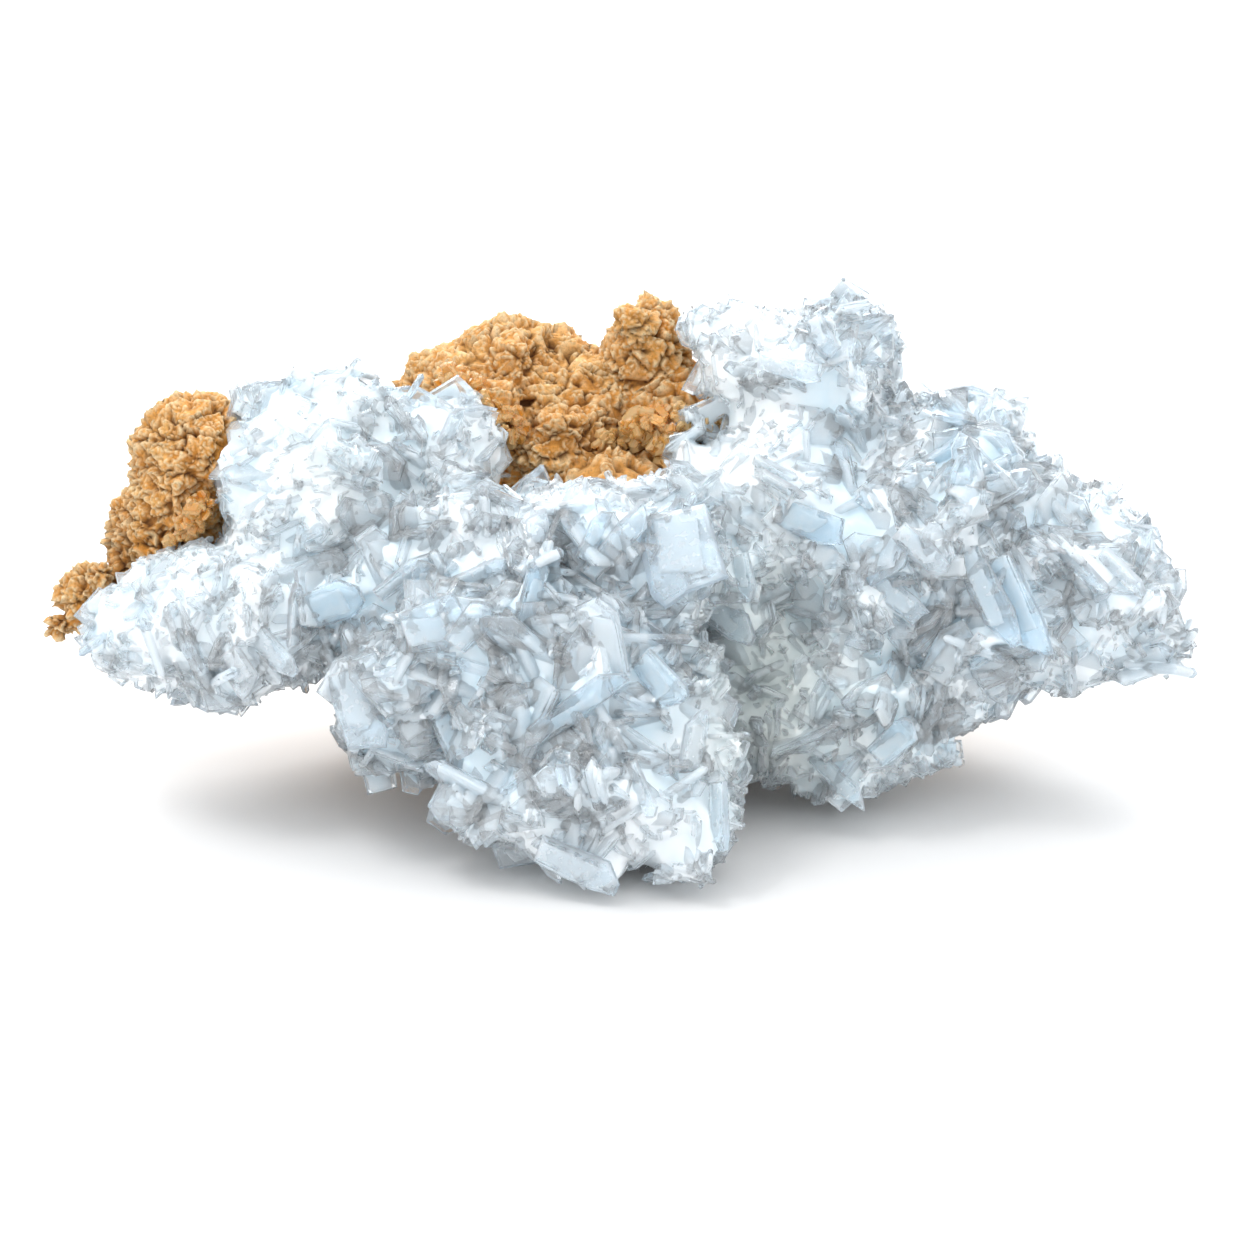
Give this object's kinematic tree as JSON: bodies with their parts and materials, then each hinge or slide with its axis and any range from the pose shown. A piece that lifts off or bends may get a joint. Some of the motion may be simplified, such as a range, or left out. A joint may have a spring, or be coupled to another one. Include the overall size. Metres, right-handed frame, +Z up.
{
  "type": "barite crystal cluster",
  "caption": "Loose specimen of pale blue tabular barite crystals grown as a crust over tan, pitted limestone, with amber stained crystals in the seam.",
  "frame": {"origin": "middle of the bounding box, at the bottom, where the specimen stands", "axes": "+X to the right along the longest side as seen from the crystal side, +Y away from the viewer, +Z up"},
  "size_m": [0.1648, 0.0871, 0.0719],
  "materials": {
    "barite": "gloss",
    "amber_barite": "gloss",
    "limestone": "matte"
  },
  "bodies": {
    "root": {"limestone_matrix": "limestone", "amber_crystals_front": "amber_barite", "amber_crystals_slope": "amber_barite", "amber_crystals_left": "amber_barite", "barite_crust": "barite"}
  },
  "joints": []
}
